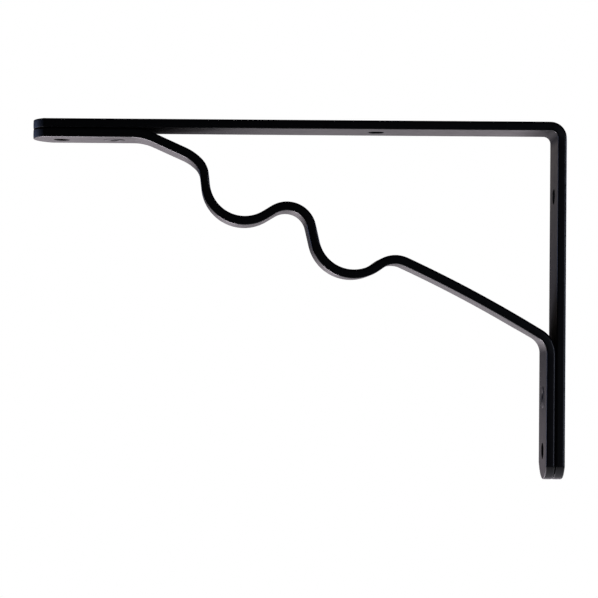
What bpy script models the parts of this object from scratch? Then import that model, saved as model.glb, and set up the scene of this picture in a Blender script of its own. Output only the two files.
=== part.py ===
"""Hanger bracket in flat steel bar.

One bar is bent to an L: its arm lies under a shelf and its leg against a wall.
A second bar lies under the arm's outer end, dips through two open cups that hold a
hanging rod each, runs straight down to the leg and lies against it to the bottom.
A rivet joins the two bars near each end, and screw holes go through both.

Frame: +X points into the wall, +Z up to the shelf, and the width lies along Y.
The origin is on the wall side of the leg, halfway down it.
"""

import math

import bmesh
import bpy

MM = 0.001
DEGREE = math.pi / 180

# Flat bar and clearance
BAR_WIDTH = 31.75 * MM
BAR_THICKNESS = 5.2 * MM
EDGE_ROUND = 1.2 * MM
EDGE_SEGMENTS = 2
END_ARC_RADIUS = 19.05 * MM
END_ARC_STEPS = 15
GAP = 0.3 * MM
BEND_STEP = 6.0 * DEGREE
BEND_CHORD = 12.0 * MM

# L-shaped bar
ARM_LENGTH = 304.8 * MM
LEG_LENGTH = 203.2 * MM
CORNER_INSIDE_RADIUS = 4.0 * MM

# Brace bar, measured along its centreline
BRACE_FLAT = 58.3 * MM
CUP_RADIUS = 22.5 * MM
CREST_RADIUS = 14.25 * MM
FOOT_BEND_RADIUS = 12.8 * MM
STAY_START_SLOPE = -24.5 * DEGREE
STAY_END_SLOPE = -31.2 * DEGREE
BRACE_DROP = (
    ("bend", 31.2 * MM, -24.1 * DEGREE),
    ("run", 18.9 * MM),
    ("bend", 27.4 * MM, -45.0 * DEGREE),
    ("bend", 12.0 * MM, -83.5 * DEGREE),
    ("run", 6.1 * MM),
)
BRACE_CUPS = (
    ("bend", CUP_RADIUS, 31.8 * DEGREE),
    ("run", 5.5 * MM),
    ("bend", CREST_RADIUS, -77.0 * DEGREE),
    ("run", 10.0 * MM),
    ("bend", CUP_RADIUS, 35.5 * DEGREE),
    ("run", 2.7 * MM),
    ("bend", CREST_RADIUS, STAY_START_SLOPE),
)

# Screw holes: the end holes go through both bars
SCREW_HOLE_DIAMETER = 9.3 * MM
END_HOLE_INSET = 16.2 * MM
ARM_HOLE_FROM_WALL = 107.4 * MM
LEG_HOLE_BELOW_SHELF = 41.1 * MM
HOLE_SIDES = 32

# Rivets: countersunk flush on the outside, a low rolled end with a hollow on the inside
RIVET_INSET = 46.8 * MM
RIVET_SHANK_RADIUS = 3.5 * MM
RIVET_HEAD_RADIUS = 6.2 * MM
RIVET_PROUD = 0.4 * MM
RIVET_RIM = 0.5 * MM
RIVET_HOLLOW_RADIUS = 2.4 * MM
RIVET_HOLLOW_DEPTH = 3.0 * MM
RIVET_SIDES = 24

# Values that follow from the ones above
SHELF_Z = LEG_LENGTH / 2
STACK = 2 * BAR_THICKNESS + GAP
CUT_PAST = 2.0 * MM
CONE_DEPTH = RIVET_HEAD_RADIUS - RIVET_SHANK_RADIUS
CONE_GAP = GAP * math.sqrt(2)
HALF_RIVET_SIDE = 180.0 * DEGREE / RIVET_SIDES
WELD_DISTANCE = 0.00001

# Finish
COAT_COLOUR = (0.010, 0.010, 0.012, 1.0)
COAT_ROUGHNESS = 0.32
RIVET_ROUGHNESS = 0.36


def clear_scene():
    for old in list(bpy.data.objects):
        bpy.data.objects.remove(old, do_unlink=True)


def new_collection(name):
    collection = bpy.data.collections.new(name)
    bpy.context.scene.collection.children.link(collection)
    return collection


def coat_material(name, roughness):
    """Black powder coat, glossy enough to mirror light that grazes it."""
    material = bpy.data.materials.new(name)
    material.use_nodes = True
    shader = material.node_tree.nodes["Principled BSDF"]
    shader.inputs["Base Color"].default_value = COAT_COLOUR
    shader.inputs["Roughness"].default_value = roughness
    shader.inputs["Metallic"].default_value = 0.0
    return material


def walk(start, moves):
    """Return the centreline points of a bar laid from start with straight runs and bends."""
    x, z = start
    slope = 0.0
    points = [(x, z)]
    for kind, *values in moves:
        if kind == "run":
            x += values[0] * math.cos(slope)
            z += values[0] * math.sin(slope)
            points.append((x, z))
            continue
        radius, new_slope = values
        turn = new_slope - slope
        side = math.copysign(radius, turn)
        centre_x = x - side * math.sin(slope)
        centre_z = z + side * math.cos(slope)
        steps = math.ceil(max(abs(turn) / BEND_STEP, abs(turn) * radius / BEND_CHORD))
        for step in range(1, steps + 1):
            angle = slope + turn * step / steps
            x = centre_x + side * math.sin(angle)
            z = centre_z - side * math.cos(angle)
            points.append((x, z))
        slope = new_slope
    return points


def angle_bar_path():
    """The L: along the arm to the corner, round it and down the leg."""
    bend_radius = CORNER_INSIDE_RADIUS + BAR_THICKNESS / 2
    corner = CORNER_INSIDE_RADIUS + BAR_THICKNESS
    moves = (
        ("run", ARM_LENGTH - corner),
        ("bend", bend_radius, -90.0 * DEGREE),
        ("run", LEG_LENGTH - corner),
    )
    return walk((-ARM_LENGTH, -BAR_THICKNESS / 2), moves)


def brace_bar_path():
    """Flat under the arm, down through the two cups, then the bowed stay that ends on the leg."""
    start = (-ARM_LENGTH, -1.5 * BAR_THICKNESS - GAP)
    moves = (("run", BRACE_FLAT),) + BRACE_DROP + BRACE_CUPS
    stay_x = walk(start, moves)[-1][0]
    leg_x = start[1]
    foot_reach = FOOT_BEND_RADIUS * (1 + math.sin(STAY_END_SLOPE))
    stay_turn = math.sin(STAY_START_SLOPE) - math.sin(STAY_END_SLOPE)
    stay_radius = (leg_x - foot_reach - stay_x) / stay_turn
    moves += (
        ("bend", stay_radius, STAY_END_SLOPE),
        ("bend", FOOT_BEND_RADIUS, -90.0 * DEGREE),
    )
    foot_z = walk(start, moves)[-1][1]
    moves += (("run", foot_z + LEG_LENGTH),)
    return walk(start, moves)


def end_arc(end, inner):
    """Points of the arc cut across a bar's end, from its -Y side to its +Y side."""
    reach = math.dist(end, inner)
    widest = math.asin(BAR_WIDTH / 2 / END_ARC_RADIUS)
    points = []
    for step in range(END_ARC_STEPS + 1):
        angle = widest * (2 * step / END_ARC_STEPS - 1)
        along = END_ARC_RADIUS * (1 - math.cos(angle)) / reach
        x = end[0] + (inner[0] - end[0]) * along
        z = end[1] + (inner[1] - end[1]) * along
        points.append((x, END_ARC_RADIUS * math.sin(angle), z))
    return points


def bar_object(name, points, material, collection):
    """A flat bar as a strip along points, thickened about it, with rounded edges."""
    shape = bmesh.new()
    start = [shape.verts.new(place) for place in end_arc(points[0], points[1])]
    finish = [shape.verts.new(place) for place in end_arc(points[-1], points[-2])]
    rows = [(start[0], start[-1])]
    for x, z in points[1:-1]:
        near = shape.verts.new((x, -BAR_WIDTH / 2, z))
        far = shape.verts.new((x, BAR_WIDTH / 2, z))
        rows.append((near, far))
    rows.append((finish[0], finish[-1]))
    for (near, far), (next_near, next_far) in zip(rows, rows[1:]):
        shape.faces.new((near, next_near, next_far, far))
    shape.faces.new([start[0]] + start[:0:-1])
    shape.faces.new([finish[-1]] + finish[:-1])
    mesh = bpy.data.meshes.new(name)
    shape.to_mesh(mesh)
    shape.free()
    mesh.shade_smooth()
    mesh.materials.append(material)

    bar = bpy.data.objects.new(name, mesh)
    bar.location.z = SHELF_Z
    collection.objects.link(bar)

    thickness = bar.modifiers.new("Thickness", "SOLIDIFY")
    thickness.thickness = BAR_THICKNESS
    thickness.offset = 0.0
    thickness.use_even_offset = True

    edges = bar.modifiers.new("Rounded edges", "BEVEL")
    edges.width = EDGE_ROUND
    edges.segments = EDGE_SEGMENTS
    edges.limit_method = "ANGLE"
    edges.angle_limit = 45.0 * DEGREE
    edges.harden_normals = True
    return bar


def cutter_collection_object(name, mesh, collection):
    cutter = bpy.data.objects.new(name, mesh)
    cutter.hide_render = True
    cutter.display_type = "WIRE"
    collection.objects.link(cutter)
    return cutter


def place_through_arm(item, from_wall):
    """Put an item's origin on the shelf face of the arm, its own +Z up."""
    item.location = (-from_wall, 0.0, SHELF_Z)


def place_through_leg(item, below_shelf):
    """Put an item's origin on the wall face of the leg, its own +Z into the wall."""
    item.location = (0.0, 0.0, SHELF_Z - below_shelf)
    item.rotation_euler.y = 90.0 * DEGREE


def screw_hole_cutter(name, collection):
    """A cylinder that reaches from above the outer face to past both bars."""
    depth = STACK + 2 * CUT_PAST
    shape = bmesh.new()
    bmesh.ops.create_cone(
        shape,
        cap_ends=True,
        segments=HOLE_SIDES,
        radius1=SCREW_HOLE_DIAMETER / 2,
        radius2=SCREW_HOLE_DIAMETER / 2,
        depth=depth,
    )
    bmesh.ops.translate(shape, verts=shape.verts, vec=(0.0, 0.0, CUT_PAST - depth / 2))
    mesh = bpy.data.meshes.new(name)
    shape.to_mesh(mesh)
    shape.free()
    return cutter_collection_object(name, mesh, collection)


def turn_profile(item, sides):
    """Turn an item's profile about its own Z axis."""
    turning = item.modifiers.new("Turned", "SCREW")
    turning.axis = "Z"
    turning.steps = sides
    turning.render_steps = sides
    turning.use_merge_vertices = True
    turning.merge_threshold = WELD_DISTANCE
    turning.use_smooth_shade = True


def profile_mesh(name, profile):
    """A mesh of one open line of edges through (radius, height) points, half a side round from +X."""
    mesh = bpy.data.meshes.new(name)
    across, along = math.cos(HALF_RIVET_SIDE), math.sin(HALF_RIVET_SIDE)
    points = [(radius * across, radius * along, height) for radius, height in profile]
    edges = [(index, index + 1) for index in range(len(points) - 1)]
    mesh.from_pydata(points, edges, [])
    return mesh


def rivet_profile():
    """Half section of a rivet from the middle of its flush head to the floor of its hollow."""
    inner_face = -STACK
    crown = inner_face - RIVET_PROUD
    return (
        (0.0, 0.0),
        (RIVET_HEAD_RADIUS, 0.0),
        (RIVET_SHANK_RADIUS, -CONE_DEPTH),
        (RIVET_SHANK_RADIUS, inner_face + CONE_DEPTH),
        (RIVET_HEAD_RADIUS, inner_face),
        (RIVET_HEAD_RADIUS - RIVET_RIM, crown),
        (RIVET_HOLLOW_RADIUS + RIVET_RIM, crown),
        (RIVET_HOLLOW_RADIUS, inner_face),
        (RIVET_HOLLOW_RADIUS, crown + RIVET_HOLLOW_DEPTH),
        (0.0, crown + RIVET_HOLLOW_DEPTH),
    )


def rivet_clearance_profile():
    """Half section of the hole that a rivet fills, a gap wider all round."""
    mouth = RIVET_HEAD_RADIUS + CONE_GAP
    bore = RIVET_SHANK_RADIUS + GAP
    cone = mouth - bore
    return (
        (0.0, CUT_PAST),
        (mouth, CUT_PAST),
        (mouth, 0.0),
        (bore, -cone),
        (bore, cone - STACK),
        (mouth, -STACK),
        (mouth, -STACK - CUT_PAST),
        (0.0, -STACK - CUT_PAST),
    )


def rivet_cutter(name, collection):
    cutter = cutter_collection_object(name, profile_mesh(name, rivet_clearance_profile()), collection)
    turn_profile(cutter, RIVET_SIDES)
    return cutter


def rivet_object(name, material, collection):
    mesh = profile_mesh(name, rivet_profile())
    mesh.materials.append(material)
    rivet = bpy.data.objects.new(name, mesh)
    collection.objects.link(rivet)
    turn_profile(rivet, RIVET_SIDES)
    return rivet


def cut(bar, cutters):
    for cutter in cutters:
        hole = bar.modifiers.new(cutter.name, "BOOLEAN")
        hole.operation = "DIFFERENCE"
        hole.object = cutter


def build_bracket():
    clear_scene()
    pieces = new_collection("hanger_bracket")
    cutters = new_collection("cutters")
    bar_coat = coat_material("bar_coat", COAT_ROUGHNESS)
    rivet_coat = coat_material("rivet_coat", RIVET_ROUGHNESS)

    angle_bar = bar_object("angle_bar", angle_bar_path(), bar_coat, pieces)
    brace_bar = bar_object("brace_bar", brace_bar_path(), bar_coat, pieces)

    arm_end_hole = screw_hole_cutter("arm_end_hole", cutters)
    place_through_arm(arm_end_hole, ARM_LENGTH - END_HOLE_INSET)
    arm_middle_hole = screw_hole_cutter("arm_middle_hole", cutters)
    place_through_arm(arm_middle_hole, ARM_HOLE_FROM_WALL)
    leg_top_hole = screw_hole_cutter("leg_top_hole", cutters)
    place_through_leg(leg_top_hole, LEG_HOLE_BELOW_SHELF)
    leg_end_hole = screw_hole_cutter("leg_end_hole", cutters)
    place_through_leg(leg_end_hole, LEG_LENGTH - END_HOLE_INSET)

    arm_rivet_hole = rivet_cutter("arm_rivet_hole", cutters)
    place_through_arm(arm_rivet_hole, ARM_LENGTH - RIVET_INSET)
    leg_rivet_hole = rivet_cutter("leg_rivet_hole", cutters)
    place_through_leg(leg_rivet_hole, LEG_LENGTH - RIVET_INSET)

    shared_holes = (arm_end_hole, leg_end_hole, arm_rivet_hole, leg_rivet_hole)
    cut(angle_bar, shared_holes + (arm_middle_hole, leg_top_hole))
    cut(brace_bar, shared_holes)

    rivet_arm = rivet_object("rivet_arm", rivet_coat, pieces)
    place_through_arm(rivet_arm, ARM_LENGTH - RIVET_INSET)
    rivet_leg = rivet_object("rivet_leg", rivet_coat, pieces)
    place_through_leg(rivet_leg, LEG_LENGTH - RIVET_INSET)


build_bracket()
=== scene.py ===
"""Looks of a hanger bracket: two black powder-coated flat bars held together by two rivets.

Each bar is laid along its own line of straight runs and bends, with rolled edges, ends
cut to a rounded plan, punched holes with soft lips and a slight spread where the steel
is bent tightly. The rivets are turned. A pale studio and one camera go with them.
"""

import math

import bmesh
import bpy
from bpy.props import FloatProperty, FloatVectorProperty, PointerProperty
from mathutils import Matrix, Vector


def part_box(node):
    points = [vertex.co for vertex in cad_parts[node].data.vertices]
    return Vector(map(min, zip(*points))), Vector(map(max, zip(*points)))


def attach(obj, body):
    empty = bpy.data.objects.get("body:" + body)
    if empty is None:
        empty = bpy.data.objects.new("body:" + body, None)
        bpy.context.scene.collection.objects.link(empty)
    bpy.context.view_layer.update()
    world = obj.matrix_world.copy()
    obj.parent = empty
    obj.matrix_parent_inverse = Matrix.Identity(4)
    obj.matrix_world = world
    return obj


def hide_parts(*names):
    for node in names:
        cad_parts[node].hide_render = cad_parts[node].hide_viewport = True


bl_info = {
    "name": "Hanger bracket finish",
    "version": (1, 0, 0),
    "blender": (4, 5, 0),
    "location": "View3D > Sidebar > Bracket",
    "description": "Coated bars, rivets and studio of a shelf bracket with two rod cups",
    "category": "Object",
}

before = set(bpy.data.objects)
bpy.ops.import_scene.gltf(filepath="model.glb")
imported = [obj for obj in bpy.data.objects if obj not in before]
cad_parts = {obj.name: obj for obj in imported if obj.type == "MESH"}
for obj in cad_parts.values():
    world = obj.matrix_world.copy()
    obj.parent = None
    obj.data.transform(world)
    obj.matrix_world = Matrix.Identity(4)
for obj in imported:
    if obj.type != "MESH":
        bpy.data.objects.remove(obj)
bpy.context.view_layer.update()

MM = 0.001
DEGREE = math.pi / 180

# Sizes from the frame, and the gap that parts the two bars
ANGLE_LOW, ANGLE_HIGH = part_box("angle_bar")
BRACE_LOW, BRACE_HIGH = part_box("brace_bar")
ARM_LENGTH = ANGLE_HIGH.x - ANGLE_LOW.x
LEG_LENGTH = ANGLE_HIGH.z - ANGLE_LOW.z
BAR_WIDTH = ANGLE_HIGH.y - ANGLE_LOW.y
SHELF_Z = ANGLE_HIGH.z
BARS_APART = 0.3 * MM
BAR_THICKNESS = SHELF_Z - BRACE_HIGH.z - BARS_APART

# Shape of a bar
END_ARC_RADIUS = 19.05 * MM
END_ARC_STEPS = 20
END_BREAK_RADIUS = 1.5 * MM
END_BREAK_STEPS = 6
EDGE_STEPS = 6
WALL_STEPS = 4
STATION_TURN = 1.5 * DEGREE
STATION_REACH = 2.0 * MM
BEND_BLEND = 2.5 * MM
BEND_SPREAD = 1.1 * MM
CORNER_INSIDE_RADIUS = 4.0 * MM

# Line of the brace bar, along the middle of its thickness
MIDDLE_BELOW_SHELF = 1.5 * BAR_THICKNESS + BARS_APART
BRACE_FLAT = 58.3 * MM
CUP_RADIUS = 22.5 * MM
CREST_RADIUS = 14.25 * MM
FOOT_BEND_RADIUS = 12.8 * MM
STAY_START_SLOPE = -24.5 * DEGREE
STAY_END_SLOPE = -31.2 * DEGREE
BRACE_DROP = (
    ("bend", 31.2 * MM, -24.1 * DEGREE),
    ("run", 18.9 * MM),
    ("bend", 27.4 * MM, -45.0 * DEGREE),
    ("bend", 12.0 * MM, -83.5 * DEGREE),
    ("run", 6.1 * MM),
)
BRACE_CUPS = (
    ("bend", CUP_RADIUS, 31.8 * DEGREE),
    ("run", 5.5 * MM),
    ("bend", CREST_RADIUS, -77.0 * DEGREE),
    ("run", 10.0 * MM),
    ("bend", CUP_RADIUS, 35.5 * DEGREE),
    ("run", 2.7 * MM),
    ("bend", CREST_RADIUS, STAY_START_SLOPE),
)

# How far along the line the lean of the cups comes and goes
LEAN_EASE = 8.0 * MM
FOOT_EASE = 30.0 * MM
FOOT_LEAN = 0.45

# Screw holes and rivets, those of the arm placed from the wall and those of the leg from the shelf
SCREW_HOLE_RADIUS = 4.65 * MM
END_HOLE_INSET = 16.2 * MM
ARM_END_HOLE = ARM_LENGTH - END_HOLE_INSET
ARM_MIDDLE_HOLE = 107.4 * MM
LEG_TOP_HOLE = 41.1 * MM
LEG_END_HOLE = LEG_LENGTH - END_HOLE_INSET
RIVET_INSET = 46.8 * MM
ARM_RIVET = ARM_LENGTH - RIVET_INSET
LEG_RIVET = LEG_LENGTH - RIVET_INSET
RIVET_HEAD_RADIUS = 6.2 * MM
RIVET_HEAD_ROUND = 0.3 * MM
RIVET_SHANK_RADIUS = 3.5 * MM
RIVET_PROUD = 0.45 * MM
RIVET_ROLL_END = 155.0 * DEGREE
RIVET_ROLL_STEPS = 12
RIVET_HOLLOW_RADIUS = 2.4 * MM
RIVET_HOLLOW_DEPTH = 3.0 * MM
RIVET_HOLLOW_ROUND = 0.6 * MM
RIVET_ROUND_STEPS = 4
RIVET_GAP = 0.3 * MM
TURNED_SIDES = 96
TURNED_MERGE = 0.001 * MM
CUT_PAST = 2.0 * MM
LIP_OVERRUN = 0.01 * MM
LIP_STEPS = 6

# Shading: edges over the sharp angle stay sharp, and large flat faces outweigh small round ones
SHARP_ANGLE = 50.0 * DEGREE
FLAT_WEIGHT = 80

# Coat, with the length of its peel, patches and swells from hump to hump
PEEL_LENGTH = 2.2 * MM
PATCH_LENGTH = 9 * MM
PATCH_LOW = 0.3
PATCH_HIGH = 0.7
SWELL_LENGTH = 25 * MM
SWELL_HEIGHT = 0.1 * MM
ROUGHNESS_SWING = 0.04
THINNING = 3
COAT_SPECULAR = 0.5
COAT_IOR = 1.5

# Places of the colour sockets on a mix node
MIX_COLOUR_A = 6
MIX_COLOUR_B = 7
MIX_COLOUR_OUT = 2

# Powder reaches recesses poorly, so the coat is dry and dull some way along from each. This dullness and
# lost sheen are mostly painted shade of the recesses
WEDGE_DRY_SHADE_FROM = 5.7 * MM
WEDGE_DRY_SHADE_REACH = 106.0 * MM
WEDGE_DRY_SHADE_POWER = 1.4
CORNER_DRY_SHADE_REACH = 21.0 * MM
CORNER_DRY_SHADE_TAIL = 5.0 * MM
CORNER_DRYNESS_AND_SHADE = 0.42
FOOT_DRY_SHADE_REACH = 76.0 * MM

# Set. Each softbox has its group, centre over the floor, facing, width, height, brightness and tint
FLOOR_SIZE = 3.7
FLOOR_CENTRE = (-0.15, 1.65)
FLOOR_ROUGHNESS = 0.9
ROOM_COLOUR = (0.9, 0.92, 1.0, 1.0)
BACKDROP_COLOUR = (1.0, 1.0, 1.0, 1.0)
SOFTBOXES = {
    "table_left": ("table_light", (-0.75, 1.02, 0.01), (0, 0, 1), (0.60, 0.55), 10.2, "FFF4FF"),
    "table_left_far": ("table_light", (-0.75, 1.70, 0.01), (0, 0, 1), (0.60, 0.80), 0.92, "FFF4FF"),
    "table_right": ("table_light", (0.45, 1.70, 0.01), (0, 0, 1), (0.60, 0.80), 3.4, "FFF4FF"),
    "wall_low": ("wall_light", (-0.15, 3.0, 0.30), (0, -1, 0), (3.0, 0.6), 0.79, "FFF0F6"),
    "wall_high": ("wall_light", (-0.15, 3.0, 1.55), (0, -1, 0), (3.0, 0.9), 0.46, "FFF0EA"),
    "open_end": ("side_light", (-1.65, 0.95, 0.85), (1, 0, 0), (1.0, 0.7), 0.95, "B4C6FF"),
    "wall_side": ("side_light", (1.6, 1.6, 1.1), (-0.7, -0.7, -0.1), (1.0, 1.0), 2.5, "DDE5FF"),
    "front_right": ("side_light", (0.99, -1.0, 0.85), (-0.7, 0.71, 0), (0.14, 0.8), 4.5, "DDE5FF"),
}

# View of the photograph, in the frame's axes
IMAGE_SIZE = 598
FOCAL_PIXELS = 1580.0
SENSOR_WIDTH = 36.0
CLIP_START = 0.05
CLIP_END = 50.0
CAMERA_PLACE = Vector((-0.13728, -0.90798, -0.01376))
CAMERA_PITCH = -0.8863 * DEGREE
CAMERA_YAW = 0.8560 * DEGREE
CAMERA_ROLL = 0.515 * DEGREE


def linear(hex_colour):
    """Linear red, green and blue of an sRGB hex value such as 101012."""
    channels = (int(hex_colour[place:place + 2], 16) / 255 for place in (0, 2, 4))
    return tuple(c / 12.92 if c <= 0.04045 else ((c + 0.055) / 1.055) ** 2.4 for c in channels)


class BracketShape(bpy.types.PropertyGroup):
    outer_round: FloatProperty(
        name="Outer edge radius",
        description="Radius of a bar's long edges on its face towards the shelf and the wall",
        default=1.4 * MM,
        min=0.2 * MM,
        max=2.4 * MM,
        unit="LENGTH",
    )
    inner_round: FloatProperty(
        name="Inner edge radius",
        description="Radius of a bar's long edges on its other face",
        default=0.9 * MM,
        min=0.2 * MM,
        max=2.4 * MM,
        unit="LENGTH",
    )
    end_round: FloatProperty(
        name="End edge radius",
        description="Radius of the edges round a bar's two ends",
        default=0.35 * MM,
        min=0.2 * MM,
        max=2.4 * MM,
        unit="LENGTH",
    )
    edge_crown: FloatProperty(
        name="Edge crown",
        description="How far the middle of a rolled edge stands out",
        default=0.1 * MM,
        min=0.0,
        max=0.6 * MM,
        unit="LENGTH",
    )
    hole_lip: FloatProperty(
        name="Hole lip",
        description="Radius of the soft lip at both ends of a screw hole",
        default=0.1 * MM,
        min=0.05 * MM,
        max=1.0 * MM,
        unit="LENGTH",
    )
    cup_skew: FloatProperty(
        name="Cup skew",
        description="How far the back of the cups leans towards the open end",
        default=2.4 * MM,
        min=0.0,
        max=4.0 * MM,
        unit="LENGTH",
    )


class BracketCoat(bpy.types.PropertyGroup):
    colour: FloatVectorProperty(
        name="Coat",
        description="Colour of the black powder coat",
        default=linear("19191B"),
        min=0.0,
        max=1.0,
        subtype="COLOR",
    )
    thin_colour: FloatVectorProperty(
        name="Thin coat",
        description="Colour where the coat lies thin over an edge",
        default=linear("26262B"),
        min=0.0,
        max=1.0,
        subtype="COLOR",
    )
    edge_roughness: FloatProperty(
        name="Edge roughness",
        description="Roughness of the coat where it lies thin over an edge",
        default=0.15,
        min=0.0,
        max=1.0,
        subtype="FACTOR",
    )
    roughness: FloatProperty(
        name="Roughness",
        description="Roughness of the coat on the flats",
        default=0.5,
        min=0.0,
        max=1.0,
        subtype="FACTOR",
    )
    peel: FloatProperty(
        name="Orange peel",
        description="Height of the coat's orange peel",
        default=0.02 * MM,
        min=0.0,
        max=0.1 * MM,
        unit="LENGTH",
    )


class BracketStudio(bpy.types.PropertyGroup):
    floor_colour: FloatVectorProperty(
        name="Floor",
        description="Colour of the pale floor",
        default=linear("F2F0F2"),
        min=0.0,
        max=1.0,
        subtype="COLOR",
    )
    floor_drop: FloatProperty(
        name="Floor below bracket",
        description="Distance from the foot of the leg down to the floor",
        default=0.75,
        min=0.05,
        max=2.0,
        unit="LENGTH",
    )
    floor_glow: FloatProperty(
        name="Floor glow",
        description="Brightness of the floor, a table lit from beneath",
        default=0.52,
        min=0.0,
        max=2.0,
    )
    table_light: FloatProperty(
        name="Table softboxes",
        description="Brightness of the softboxes set into the floor, as a share of their own",
        default=1.0,
        min=0.0,
        max=5.0,
    )
    wall_light: FloatProperty(
        name="Wall softboxes",
        description="Brightness of the two dim softboxes far behind the bracket, as a share of their own",
        default=1.0,
        min=0.0,
        max=5.0,
    )
    side_light: FloatProperty(
        name="Side softboxes",
        description="Brightness of the cool softboxes at the sides, as a share of their own",
        default=1.0,
        min=0.0,
        max=5.0,
    )
    surround: FloatProperty(
        name="Surround",
        description="Brightness of the dim room round the set",
        default=0.01,
        min=0.0,
        max=5.0,
    )


def shape():
    """Sizes of the bracket's fine shape, as the panel has them."""
    return bpy.context.scene.bracket_shape


def lay_line(start, moves):
    """Stretches of a bar's line, each its length, start point, start slope and curvature."""
    x, z = start
    slope = 0.0
    stretches = []
    for kind, *values in moves:
        if kind == "run":
            length = values[0]
            curvature = 0.0
        else:
            radius, new_slope = values
            turn = new_slope - slope
            length = abs(turn) * radius
            curvature = math.copysign(1 / radius, turn)
        stretches.append((length, x, z, slope, curvature))
        x, z, slope = point_on_stretch(stretches[-1], length)
    return stretches


def point_on_stretch(stretch, along):
    """Place and slope at a distance along one stretch."""
    length, x, z, slope, curvature = stretch
    if curvature == 0.0:
        return x + along * math.cos(slope), z + along * math.sin(slope), slope
    new_slope = slope + curvature * along
    new_x = x + (math.sin(new_slope) - math.sin(slope)) / curvature
    new_z = z - (math.cos(new_slope) - math.cos(slope)) / curvature
    return new_x, new_z, new_slope


def line_length(stretches):
    """Length of a line along its bends."""
    return sum(stretch[0] for stretch in stretches)


def point_on_line(stretches, along):
    """Place and slope at a distance along the whole line, which runs on straight past its ends."""
    for stretch in stretches[:-1]:
        if along <= stretch[0]:
            return point_on_stretch(stretch, along)
        along -= stretch[0]
    return point_on_stretch(stretches[-1], along)


def bend_at(stretches, along):
    """Curvature of the line, eased over a short way where a bend starts and ends."""
    slope_before = point_on_line(stretches, along - BEND_BLEND)[2]
    slope_after = point_on_line(stretches, along + BEND_BLEND)[2]
    return (slope_after - slope_before) / (2 * BEND_BLEND)


def angle_bar_line():
    """The L: along the arm to the corner, round it and down the leg."""
    corner = CORNER_INSIDE_RADIUS + BAR_THICKNESS
    moves = (
        ("run", ARM_LENGTH - corner),
        ("bend", CORNER_INSIDE_RADIUS + BAR_THICKNESS / 2, -90.0 * DEGREE),
        ("run", LEG_LENGTH - corner),
    )
    return lay_line((ANGLE_LOW.x, SHELF_Z - BAR_THICKNESS / 2), moves)


def brace_bar_line():
    """Flat under the arm, down through the two cups, then the bowed stay that ends on the leg."""
    start = (BRACE_LOW.x, SHELF_Z - MIDDLE_BELOW_SHELF)
    moves = (("run", BRACE_FLAT),) + BRACE_DROP + BRACE_CUPS
    stay_x = end_of(start, moves)[0]
    leg_x = ANGLE_HIGH.x - MIDDLE_BELOW_SHELF
    foot_reach = FOOT_BEND_RADIUS * (1 + math.sin(STAY_END_SLOPE))
    stay_turn = math.sin(STAY_START_SLOPE) - math.sin(STAY_END_SLOPE)
    stay_radius = (leg_x - foot_reach - stay_x) / stay_turn
    moves += (
        ("bend", stay_radius, STAY_END_SLOPE),
        ("bend", FOOT_BEND_RADIUS, -90.0 * DEGREE),
    )
    moves += (("run", end_of(start, moves)[1] - BRACE_LOW.z),)
    return lay_line(start, moves)


def end_of(start, moves):
    """Place and slope at the end of a line."""
    stretches = lay_line(start, moves)
    return point_on_line(stretches, line_length(stretches))


def plan_outline(stretches):
    """Points of one long side of the flat bar's plan, each its distance along, its distance from
    the middle and its outward direction. Both ends are cut to an arc."""
    length = line_length(stretches)
    outline = end_outline(0.0, 1.0)
    reach_of_end = outline[-1][0]
    passed = 0.0
    for stretch in stretches:
        reach, curvature = stretch[0], stretch[4]
        steps = math.ceil(max(reach / STATION_REACH, abs(curvature) * reach / STATION_TURN))
        for step in range(1, steps + 1):
            along = passed + reach * step / steps
            if reach_of_end < along < length - reach_of_end:
                outline.append((along, BAR_WIDTH / 2, 0.0, 1.0))
        passed += reach
    return outline + end_outline(length, -1.0)[::-1]


def end_outline(end, inward):
    """Half the arc across a bar's end and the small round that breaks its corner with the side."""
    break_side = BAR_WIDTH / 2 - END_BREAK_RADIUS
    meeting = math.asin(break_side / (END_ARC_RADIUS - END_BREAK_RADIUS))
    break_along = END_ARC_RADIUS - (END_ARC_RADIUS - END_BREAK_RADIUS) * math.cos(meeting)
    points = []

    def add_point(along, side, turn):
        points.append((end + inward * along, side, -inward * math.cos(turn), math.sin(turn)))

    # The first point is half a step from the middle, so the step across the middle is a whole one
    for step in range(END_ARC_STEPS):
        turn = meeting * (step + 0.5) / (END_ARC_STEPS - 0.5)
        add_point(END_ARC_RADIUS * (1 - math.cos(turn)), END_ARC_RADIUS * math.sin(turn), turn)
    for step in range(1, END_BREAK_STEPS + 1):
        turn = meeting + (math.pi / 2 - meeting) * step / END_BREAK_STEPS
        along = break_along - END_BREAK_RADIUS * math.cos(turn)
        add_point(along, break_side + END_BREAK_RADIUS * math.sin(turn), turn)
    return points


def edge_round(radius):
    """Inset, height and thinness of the coat at the points down the round of a bar's upper edge.
    The coat is thin over most of the round and full at both its ends."""
    half = BAR_THICKNESS / 2
    points = []
    for step in range(EDGE_STEPS + 1):
        turn = math.pi / 2 * step / EDGE_STEPS
        thin = min(1.0, THINNING * math.sin(2 * turn))
        points.append((radius * (1 - math.sin(turn)), half - radius * (1 - math.cos(turn)), thin))
    return points


def edge_levels(outer, inner, crown):
    """Inset, height and thinness of the coat at the points down the whole of a bar's side, which
    has an outer and an inner edge radius and stands out by the crown in its middle."""
    half = BAR_THICKNESS / 2
    upper, lower = edge_round(outer), edge_round(inner)
    high, low = upper[-1][1], -lower[-1][1]
    wall = [(0.0, high + (low - high) * step / WALL_STEPS, 0.0) for step in range(1, WALL_STEPS)]
    levels = upper + wall + [(inset, -height, thin) for inset, height, thin in reversed(lower)]
    return [(inset + crown * (height / half) ** 2, height, thin) for inset, height, thin in levels]


def ease(value, low, high):
    """A smooth step from 0 at low to 1 at high."""
    share = min(max((value - low) / (high - low), 0.0), 1.0)
    return share * share * (3 - 2 * share)


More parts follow.
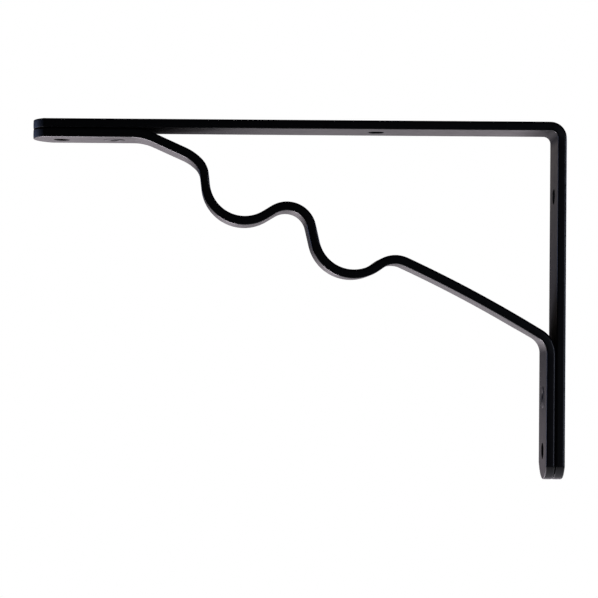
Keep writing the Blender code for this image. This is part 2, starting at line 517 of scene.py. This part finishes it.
def bar_mesh(name, stretches, skew, dryness_and_shade):
    """A closed mesh of a flat bar along a line. skew gives the lean of its back at a distance along, and
    dryness_and_shade how dry the coat is there on the inner face and how much painted shade it carries."""
    outline = plan_outline(stretches)
    sizes = shape()
    mesh = bmesh.new()
    thin_layer = mesh.verts.layers.float.new("thin_coat")
    dry_and_shade_layer = mesh.verts.layers.float.new("dry_coat_and_shade")
    rows = {-1: [], 1: []}
    for along, half_width, out_along, out_side in outline:
        outer = sizes.outer_round + (sizes.end_round - sizes.outer_round) * out_along ** 2
        inner = sizes.inner_round + (sizes.end_round - sizes.inner_round) * out_along ** 2
        levels = edge_levels(outer, inner, sizes.edge_crown)
        inner_height = levels[-1][1]
        for side in (-1, 1):
            row = []
            for inset, height, thin in levels:
                station = along - out_along * inset
                x, z, slope = point_on_line(stretches, station)
                spread = BEND_SPREAD * bend_at(stretches, station) * height
                y = side * (half_width - out_side * inset + spread)
                lean = skew(station) * (0.5 + y / BAR_WIDTH)
                point = (x - height * math.sin(slope) - lean, y, z + height * math.cos(slope))
                vert = mesh.verts.new(point)
                vert[thin_layer] = thin * out_side ** 2
                # Painted shade on the inner face, partly a dry coat: where this is high the coat turns
                # dull and loses its sheen
                vert[dry_and_shade_layer] = dryness_and_shade(station) if height == inner_height else 0.0
                row.append(vert)
            rows[side].append(row)
    near, far = rows[-1], rows[1]
    for index in range(len(outline) - 1):
        for level in range(len(near[0]) - 1):
            quad(mesh, near[index], near[index + 1], level, False)
            quad(mesh, far[index], far[index + 1], level, True)
        outer_face = (near[index][0], near[index + 1][0], far[index + 1][0], far[index][0])
        mesh.faces.new(outer_face)
        inner_face = (near[index][-1], far[index][-1], far[index + 1][-1], near[index + 1][-1])
        mesh.faces.new(inner_face)
    for level in range(len(near[0]) - 1):
        quad(mesh, near[0], far[0], level, True)
        quad(mesh, near[-1], far[-1], level, False)
    for face in mesh.faces:
        face.smooth = True
    bmesh.ops.recalc_face_normals(mesh, faces=mesh.faces)
    data = bpy.data.meshes.new(name)
    mesh.to_mesh(data)
    mesh.free()
    return data


def quad(mesh, row, next_row, level, turned):
    """A face between two rows, from one level to the next."""
    corners = (row[level], row[level + 1], next_row[level + 1], next_row[level])
    mesh.faces.new(corners[::-1] if turned else corners)


def turned_object(name, profile):
    """An object turned about its own Z axis from a half section of (radius, height) points."""
    data = bpy.data.meshes.new(name)
    points = [(radius, 0.0, height) for radius, height in profile]
    data.from_pydata(points, [(at, at + 1) for at in range(len(points) - 1)], [])
    item = bpy.data.objects.new(name, data)
    bpy.context.scene.collection.objects.link(item)
    turning = item.modifiers.new("Turned", "SCREW")
    turning.axis = "Z"
    turning.steps = TURNED_SIDES
    turning.render_steps = TURNED_SIDES
    turning.use_merge_vertices = True
    turning.merge_threshold = TURNED_MERGE
    turning.use_smooth_shade = True
    return item


def settle(item):
    """Give an object the mesh that its modifiers make, and drop them."""
    bpy.context.view_layer.update()
    seen = item.evaluated_get(bpy.context.evaluated_depsgraph_get())
    data = bpy.data.meshes.new_from_object(seen)
    item.modifiers.clear()
    item.data = data
    data.name = item.name


def place_on_arm(item, from_wall):
    """Stand an object on the shelf face of the arm, its own +Z up."""
    item.matrix_world = Matrix.Translation((-from_wall, 0.0, SHELF_Z))


def place_on_leg(item, below_shelf):
    """Stand an object on the wall face of the leg, its own +Z into the wall."""
    turn = Matrix.Rotation(90.0 * DEGREE, 4, "Y")
    item.matrix_world = Matrix.Translation((0.0, 0.0, SHELF_Z - below_shelf)) @ turn


def arc_points(centre, radius, start, end, steps):
    """Points on an arc of (radius, height) places, both ends in."""
    points = []
    for step in range(steps + 1):
        angle = start + (end - start) * step / steps
        points.append((centre[0] + radius * math.cos(angle), centre[1] + radius * math.sin(angle)))
    return points


def hole_profile(radius, lip, upper, lower):
    """Half section of a drill that leaves a rounded lip at an upper and a lower face."""
    middle = radius + lip
    top = upper + LIP_OVERRUN
    bottom = lower - LIP_OVERRUN
    return (
        [(0.0, upper + CUT_PAST), (middle, upper + CUT_PAST)]
        + arc_points((middle, top - lip), lip, 90.0 * DEGREE, 180.0 * DEGREE, LIP_STEPS)
        + arc_points((middle, bottom + lip), lip, 180.0 * DEGREE, 270.0 * DEGREE, LIP_STEPS)
        + [(middle, lower - CUT_PAST), (0.0, lower - CUT_PAST)]
    )


def countersink_profile(upper, lower, opens_up):
    """Half section of a rivet's seat in one bar, which opens at its upper or its lower face."""
    # The gap is measured square to the cone's 45 degree slope
    mouth = RIVET_HEAD_RADIUS + RIVET_GAP * math.sqrt(2)
    bore = RIVET_SHANK_RADIUS + RIVET_GAP
    cone = mouth - bore
    if opens_up:
        return (
            (0.0, upper + CUT_PAST),
            (mouth, upper + CUT_PAST),
            (mouth, upper),
            (bore, upper - cone),
            (bore, lower - CUT_PAST),
            (0.0, lower - CUT_PAST),
        )
    return (
        (0.0, upper + CUT_PAST),
        (bore, upper + CUT_PAST),
        (bore, lower + cone),
        (mouth, lower),
        (mouth, lower - CUT_PAST),
        (0.0, lower - CUT_PAST),
    )


def drill(bar, drills):
    """Cut turned drills out of a bar and remove them."""
    for item in drills:
        cut = bar.modifiers.new(item.name, "BOOLEAN")
        cut.operation = "DIFFERENCE"
        cut.solver = "EXACT"
        cut.object = item
    settle(bar)
    for item in drills:
        bpy.data.objects.remove(item, do_unlink=True)


def shade(item):
    """Smooth shading that keeps the flats flat and the sharp edges sharp."""
    item.data.shade_smooth()
    item.data.set_sharp_from_angle(angle=SHARP_ANGLE)
    even = item.modifiers.new("Flat faces stay flat", "WEIGHTED_NORMAL")
    even.mode = "FACE_AREA"
    even.weight = FLAT_WEIGHT
    even.keep_sharp = True
    settle(item)


def add_node(tree, kind, place, links=(), **settings):
    """Add a node with its settings, where in_ marks an input's value, and link each
    (input, output) pair to it."""
    node = tree.nodes.new(kind)
    node.location = place
    for key, value in settings.items():
        if key.startswith("in_"):
            node.inputs[key[3:].replace("_", " ")].default_value = value
        else:
            setattr(node, key, value)
    for socket, source in links:
        tree.links.new(source, node.inputs[socket])
    return node


def build_coat():
    """Black powder coat, as it lies on all four pieces."""
    # Powder baked on blasted steel has a satin gloss and fine peel, shines more where it runs thin over
    # an edge, and is dull where it is dry. Its dullness and lost sheen in the recesses are mostly painted
    # shade
    coat = bpy.context.scene.bracket_coat
    material = bpy.data.materials.new("black_powder_coat")
    material.use_nodes = True
    tree = material.node_tree
    tree.nodes.clear()
    spot = add_node(tree, "ShaderNodeTexCoord", (-1400, 0))
    # Orange peel of a baked coat is 1 to 3 mm from hump to hump
    peel = add_node(
        tree, "ShaderNodeTexNoise", (-1100, -300), [("Vector", spot.outputs["Object"])],
        in_Scale=1 / PEEL_LENGTH, in_Detail=3.0, in_Roughness=0.55,
    )
    # Slow swells are left from rolling and blasting
    swell = add_node(
        tree, "ShaderNodeTexNoise", (-1100, -600), [("Vector", spot.outputs["Object"])],
        in_Scale=1 / SWELL_LENGTH, in_Detail=2.0, in_Roughness=0.5,
    )
    thin = add_node(tree, "ShaderNodeAttribute", (-1100, 300), attribute_name="thin_coat")
    patch = add_node(
        tree, "ShaderNodeTexNoise", (-1100, 0), [("Vector", spot.outputs["Object"])],
        in_Scale=1 / PATCH_LENGTH, in_Detail=5.0, in_Roughness=0.6,
    )
    edge = add_node(
        tree, "ShaderNodeMath", (-850, 200), [(0, thin.outputs["Fac"]), (1, patch.outputs["Fac"])],
        operation="MULTIPLY",
    )
    tint = add_node(
        tree, "ShaderNodeMix", (-600, 200), [("Factor", edge.outputs[0])], data_type="RGBA",
    )
    tint.inputs[MIX_COLOUR_A].default_value = (*coat.colour, 1.0)
    tint.inputs[MIX_COLOUR_B].default_value = (*coat.thin_colour, 1.0)
    gloss = add_node(
        tree, "ShaderNodeMapRange", (-600, -50), [("Value", patch.outputs["Fac"])],
        in_From_Min=PATCH_LOW, in_From_Max=PATCH_HIGH,
        in_To_Min=coat.roughness - ROUGHNESS_SWING, in_To_Max=coat.roughness + ROUGHNESS_SWING,
    )
    edge_gloss = add_node(
        tree, "ShaderNodeMix", (-350, 0), [("Factor", thin.outputs["Fac"]), ("A", gloss.outputs[0])],
        data_type="FLOAT", in_B=coat.edge_roughness,
    )
    # Painted shade of the recesses: where this is high the coat turns fully rough and loses its sheen
    dry_shade = add_node(tree, "ShaderNodeAttribute", (-600, 500), attribute_name="dry_coat_and_shade")
    matt = add_node(
        tree, "ShaderNodeMix", (-150, 200),
        [("Factor", dry_shade.outputs["Fac"]), ("A", edge_gloss.outputs[0])],
        data_type="FLOAT", in_B=1.0,
    )
    # Painted shade: the sheen falls to none where the recesses are marked
    sheen = add_node(
        tree, "ShaderNodeMapRange", (-350, 500), [("Value", dry_shade.outputs["Fac"])],
        in_From_Min=0.0, in_From_Max=1.0, in_To_Min=COAT_SPECULAR, in_To_Max=0.0,
    )
    slow = add_node(
        tree, "ShaderNodeBump", (-600, -600), [("Height", swell.outputs["Fac"])],
        in_Strength=1.0, in_Distance=SWELL_HEIGHT,
    )
    fine = add_node(
        tree, "ShaderNodeBump", (-350, -400),
        [("Height", peel.outputs["Fac"]), ("Normal", slow.outputs["Normal"])],
        in_Strength=1.0, in_Distance=coat.peel,
    )
    shader = add_node(
        tree, "ShaderNodeBsdfPrincipled", (-50, 0),
        [
            ("Base Color", tint.outputs[MIX_COLOUR_OUT]),
            ("Roughness", matt.outputs[0]),
            ("Specular IOR Level", sheen.outputs[0]),
            ("Normal", fine.outputs["Normal"]),
        ],
        in_Metallic=0.0, in_IOR=COAT_IOR,
    )
    add_node(tree, "ShaderNodeOutputMaterial", (250, 0), [("Surface", shader.outputs["BSDF"])])
    return material


def dress(item, node, material):
    """Put a finished piece in the place of its solid."""
    item.data.materials.clear()
    item.data.materials.append(material)
    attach(item, "root")
    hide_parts(node)


def coat_material():
    """The coat that all the pieces share, made when it is first asked for."""
    return bpy.data.materials.get("black_powder_coat") or build_coat()


def nowhere(along):
    """Neither lean nor dryness and painted shade, at any distance along."""
    return 0.0


def recess_dryness_and_shade():
    """Dryness and painted shade of the angle bar's coat: in the wedge over the brace, in the corner and
    over the foot. It is full where the bars lie on each other, from a little below the foot's upper end."""
    corner = ARM_LENGTH - BAR_THICKNESS - CORNER_INSIDE_RADIUS
    driest_and_darkest = ARM_LENGTH + LEG_LENGTH - brace_bar_line()[-1][0]

    def dryness_and_shade(along):
        past_wedge = (along - BRACE_FLAT - WEDGE_DRY_SHADE_FROM) / WEDGE_DRY_SHADE_REACH
        wedge = (1 - min(max(past_wedge, 0.0), 1.0)) ** WEDGE_DRY_SHADE_POWER
        rising = ease(along, corner - CORNER_DRY_SHADE_REACH, corner)
        falling = 1 - ease(along, ARM_LENGTH, ARM_LENGTH + CORNER_DRY_SHADE_TAIL)
        over_foot = ease(along, driest_and_darkest - FOOT_DRY_SHADE_REACH, driest_and_darkest)
        return max(wedge, CORNER_DRYNESS_AND_SHADE * rising * falling, over_foot)

    return dryness_and_shade


def cup_lean(stretches):
    """Lean of the brace's back towards the open end: most at the first bend, none on the foot."""
    foot = line_length(stretches) - stretches[-1][0]
    skew = shape().cup_skew

    def lean(along):
        rising = ease(along, BRACE_FLAT - LEAN_EASE, BRACE_FLAT)
        falling = 1 - (1 - FOOT_LEAN) * (along - BRACE_FLAT) / (foot - BRACE_FLAT)
        return skew * rising * falling * (1 - ease(along, foot - FOOT_EASE, foot))

    return lean


def make_bar(mesh, node, upper, screw_holes, seats_open_up):
    """Drill one bar, shade it and dress it. Each screw hole has its name, what places it and its
    distance."""
    bar = bpy.data.objects.new(mesh.name, mesh)
    bpy.context.scene.collection.objects.link(bar)
    lower = upper - BAR_THICKNESS
    hole = hole_profile(SCREW_HOLE_RADIUS, shape().hole_lip, upper, lower)
    seat = countersink_profile(upper, lower, seats_open_up)
    seats = (("arm_rivet", place_on_arm, ARM_RIVET), ("leg_rivet", place_on_leg, LEG_RIVET))
    drills = []
    for profile, places in ((hole, screw_holes), (seat, seats)):
        for name, place, distance in places:
            drills.append(turned_object(name, profile))
            place(drills[-1], distance)
    drill(bar, drills)
    shade(bar)
    dress(bar, node, coat_material())


class BRACKET_OT_angle_bar(bpy.types.Operator):
    """Make the L-shaped bar with its four screw holes and two rivet seats"""

    bl_idname = "bracket.angle_bar"
    bl_label = "Angle bar"

    def execute(self, context):
        mesh = bar_mesh("coated_angle_bar", angle_bar_line(), nowhere, recess_dryness_and_shade())
        holes = (
            ("arm_end", place_on_arm, ARM_END_HOLE),
            ("arm_middle", place_on_arm, ARM_MIDDLE_HOLE),
            ("leg_top", place_on_leg, LEG_TOP_HOLE),
            ("leg_end", place_on_leg, LEG_END_HOLE),
        )
        make_bar(mesh, "angle_bar", 0.0, holes, seats_open_up=True)
        return {"FINISHED"}


class BRACKET_OT_brace_bar(bpy.types.Operator):
    """Make the bar with the two rod cups, its end holes and its rivet seats"""

    bl_idname = "bracket.brace_bar"
    bl_label = "Brace bar"

    def execute(self, context):
        line = brace_bar_line()
        mesh = bar_mesh("coated_brace_bar", line, cup_lean(line), nowhere)
        holes = (("arm_end", place_on_arm, ARM_END_HOLE), ("leg_end", place_on_leg, LEG_END_HOLE))
        upper = -BAR_THICKNESS - BARS_APART
        make_bar(mesh, "brace_bar", upper, holes, seats_open_up=False)
        return {"FINISHED"}


def rivet_profile():
    """Half section of a clenched rivet: flush head outside, a hollow end rolled over inside."""
    inner_face = -2 * BAR_THICKNESS - BARS_APART
    hollow_floor = inner_face - RIVET_PROUD + RIVET_HOLLOW_DEPTH
    cone = RIVET_HEAD_RADIUS - RIVET_SHANK_RADIUS
    roll_middle = (RIVET_HEAD_RADIUS + RIVET_HOLLOW_RADIUS) / 2
    roll_reach = (RIVET_HEAD_RADIUS - RIVET_HOLLOW_RADIUS) / 2
    roll = []
    for step in range(RIVET_ROLL_STEPS + 1):
        turn = RIVET_ROLL_END * step / RIVET_ROLL_STEPS
        out = roll_middle + roll_reach * math.cos(turn)
        roll.append((out, inner_face - RIVET_PROUD * math.sin(turn)))
    head_centre = (RIVET_HEAD_RADIUS - RIVET_HEAD_ROUND, -RIVET_HEAD_ROUND)
    hollow_centre = (RIVET_HOLLOW_RADIUS - RIVET_HOLLOW_ROUND, hollow_floor - RIVET_HOLLOW_ROUND)
    quarter = 90.0 * DEGREE
    return (
        [(0.0, 0.0)]
        + arc_points(head_centre, RIVET_HEAD_ROUND, quarter, 0.0, RIVET_ROUND_STEPS)
        + [(RIVET_SHANK_RADIUS, -cone), (RIVET_SHANK_RADIUS, inner_face + cone)]
        + roll
        + arc_points(hollow_centre, RIVET_HOLLOW_ROUND, 0.0, quarter, RIVET_ROUND_STEPS)
        + [(0.0, hollow_floor)]
    )


class BRACKET_OT_rivets(bpy.types.Operator):
    """Turn the rivet of the arm and the rivet of the leg"""

    bl_idname = "bracket.rivets"
    bl_label = "Rivets"

    def execute(self, context):
        for name, place, distance in (
            ("rivet_arm", place_on_arm, ARM_RIVET),
            ("rivet_leg", place_on_leg, LEG_RIVET),
        ):
            rivet = turned_object("coated_" + name, rivet_profile())
            place(rivet, distance)
            settle(rivet)
            rivet.data.transform(rivet.matrix_world)
            rivet.matrix_world = Matrix.Identity(4)
            shade(rivet)
            dress(rivet, name, coat_material())
        return {"FINISHED"}


def softbox(name, centre, facing, size, brightness, tint):
    """A rectangular area light that stays out of the camera's view. Brightness is its green's."""
    colour = linear(tint)
    data = bpy.data.lights.new(name, "AREA")
    data.shape = "RECTANGLE"
    data.size, data.size_y = size
    data.energy = math.pi * size[0] * size[1] * brightness / colour[1]
    data.color = colour
    lamp = bpy.data.objects.new(name, data)
    lamp.location = centre
    lamp.rotation_euler = Vector(facing).to_track_quat("-Z", "Y").to_euler()
    lamp.visible_camera = False
    bpy.context.scene.collection.objects.link(lamp)


def set_world(surround):
    """A dim room that lights the set, and clean white behind the object."""
    world = bpy.data.worlds.new("studio")
    bpy.context.scene.world = world
    world.use_nodes = True
    tree = world.node_tree
    tree.nodes.clear()
    white = add_node(
        tree, "ShaderNodeBackground", (0, 100), in_Color=BACKDROP_COLOUR, in_Strength=1.0,
    )
    room = add_node(
        tree, "ShaderNodeBackground", (0, -100), in_Color=ROOM_COLOUR, in_Strength=surround,
    )
    seen = add_node(tree, "ShaderNodeLightPath", (0, 400))
    both = add_node(
        tree, "ShaderNodeMixShader", (250, 0),
        [(0, seen.outputs["Is Camera Ray"]), (1, room.outputs[0]), (2, white.outputs[0])],
    )
    add_node(tree, "ShaderNodeOutputWorld", (450, 0), [("Surface", both.outputs[0])])


def set_floor(colour, glow, height):
    """A pale table that glows softly, well below the hanging bracket."""
    # Opal acrylic sheet lit from beneath is evenly pale, with no clear reflection
    mesh = bmesh.new()
    bmesh.ops.create_grid(mesh, x_segments=1, y_segments=1, size=FLOOR_SIZE / 2)
    data = bpy.data.meshes.new("floor")
    mesh.to_mesh(data)
    mesh.free()
    floor = bpy.data.objects.new("floor", data)
    floor.location = (*FLOOR_CENTRE, height)
    bpy.context.scene.collection.objects.link(floor)
    material = bpy.data.materials.new("opal_acrylic_sheet")
    material.use_nodes = True
    shader = material.node_tree.nodes["Principled BSDF"]
    shader.inputs["Base Color"].default_value = (*colour, 1.0)
    shader.inputs["Roughness"].default_value = FLOOR_ROUGHNESS
    shader.inputs["Emission Color"].default_value = (*colour, 1.0)
    shader.inputs["Emission Strength"].default_value = glow
    data.materials.append(material)


def set_camera():
    """The photograph's camera: from level and square to the bracket's side, it is pitched, then
    yawed, then rolled."""
    data = bpy.data.cameras.new("camera")
    data.sensor_width = SENSOR_WIDTH
    data.lens = FOCAL_PIXELS / IMAGE_SIZE * SENSOR_WIDTH
    data.clip_start = CLIP_START
    data.clip_end = CLIP_END
    camera = bpy.data.objects.new("camera", data)
    level = Matrix(((1, 0, 0), (0, 0, -1), (0, 1, 0)))
    roll = Matrix.Rotation(CAMERA_ROLL, 3, "Z")
    yaw = Matrix.Rotation(CAMERA_YAW, 3, "Y")
    pitch = Matrix.Rotation(CAMERA_PITCH, 3, "X")
    flip = Matrix(((1, 0, 0), (0, -1, 0), (0, 0, -1)))
    turned = (roll @ yaw @ pitch @ level).transposed() @ flip
    camera.matrix_world = Matrix.Translation(CAMERA_PLACE) @ turned.to_4x4()
    bpy.context.scene.collection.objects.link(camera)
    bpy.context.scene.camera = camera


class BRACKET_OT_studio(bpy.types.Operator):
    """Set the floor, the softboxes, the room's light and the camera"""

    bl_idname = "bracket.studio"
    bl_label = "Studio"

    def execute(self, context):
        studio = context.scene.bracket_studio
        set_world(studio.surround)
        floor_z = ANGLE_LOW.z - studio.floor_drop
        set_floor(studio.floor_colour, studio.floor_glow, floor_z)
        for name, (group, centre, facing, size, brightness, tint) in SOFTBOXES.items():
            place = (centre[0], centre[1], floor_z + centre[2])
            softbox(name, place, facing, size, brightness * getattr(studio, group), tint)
        set_camera()
        context.scene.view_settings.view_transform = "Standard"
        context.scene.view_settings.look = "None"
        return {"FINISHED"}


class BRACKET_PT_builder(bpy.types.Panel):
    bl_idname = "BRACKET_PT_builder"
    bl_label = "Hanger bracket"
    bl_space_type = "VIEW_3D"
    bl_region_type = "UI"
    bl_category = "Bracket"

    def draw(self, context):
        layout = self.layout
        for name in GROUPS:
            group = getattr(context.scene, name)
            for key in group.__annotations__:
                layout.prop(group, key)
        for operator in OPERATORS:
            layout.operator(operator.bl_idname)


GROUPS = {
    "bracket_shape": BracketShape,
    "bracket_coat": BracketCoat,
    "bracket_studio": BracketStudio,
}
OPERATORS = (BRACKET_OT_angle_bar, BRACKET_OT_brace_bar, BRACKET_OT_rivets, BRACKET_OT_studio)


def register():
    for group in GROUPS.values():
        bpy.utils.register_class(group)
    for name, group in GROUPS.items():
        setattr(bpy.types.Scene, name, PointerProperty(type=group))
    for item in OPERATORS + (BRACKET_PT_builder,):
        bpy.utils.register_class(item)


def unregister():
    for item in reversed(OPERATORS + (BRACKET_PT_builder,)):
        bpy.utils.unregister_class(item)
    for name in GROUPS:
        delattr(bpy.types.Scene, name)
    for group in GROUPS.values():
        bpy.utils.unregister_class(group)


def main():
    register()
    bpy.ops.bracket.studio()
    bpy.ops.bracket.angle_bar()
    bpy.ops.bracket.brace_bar()
    bpy.ops.bracket.rivets()


if __name__ == "__main__":
    main()
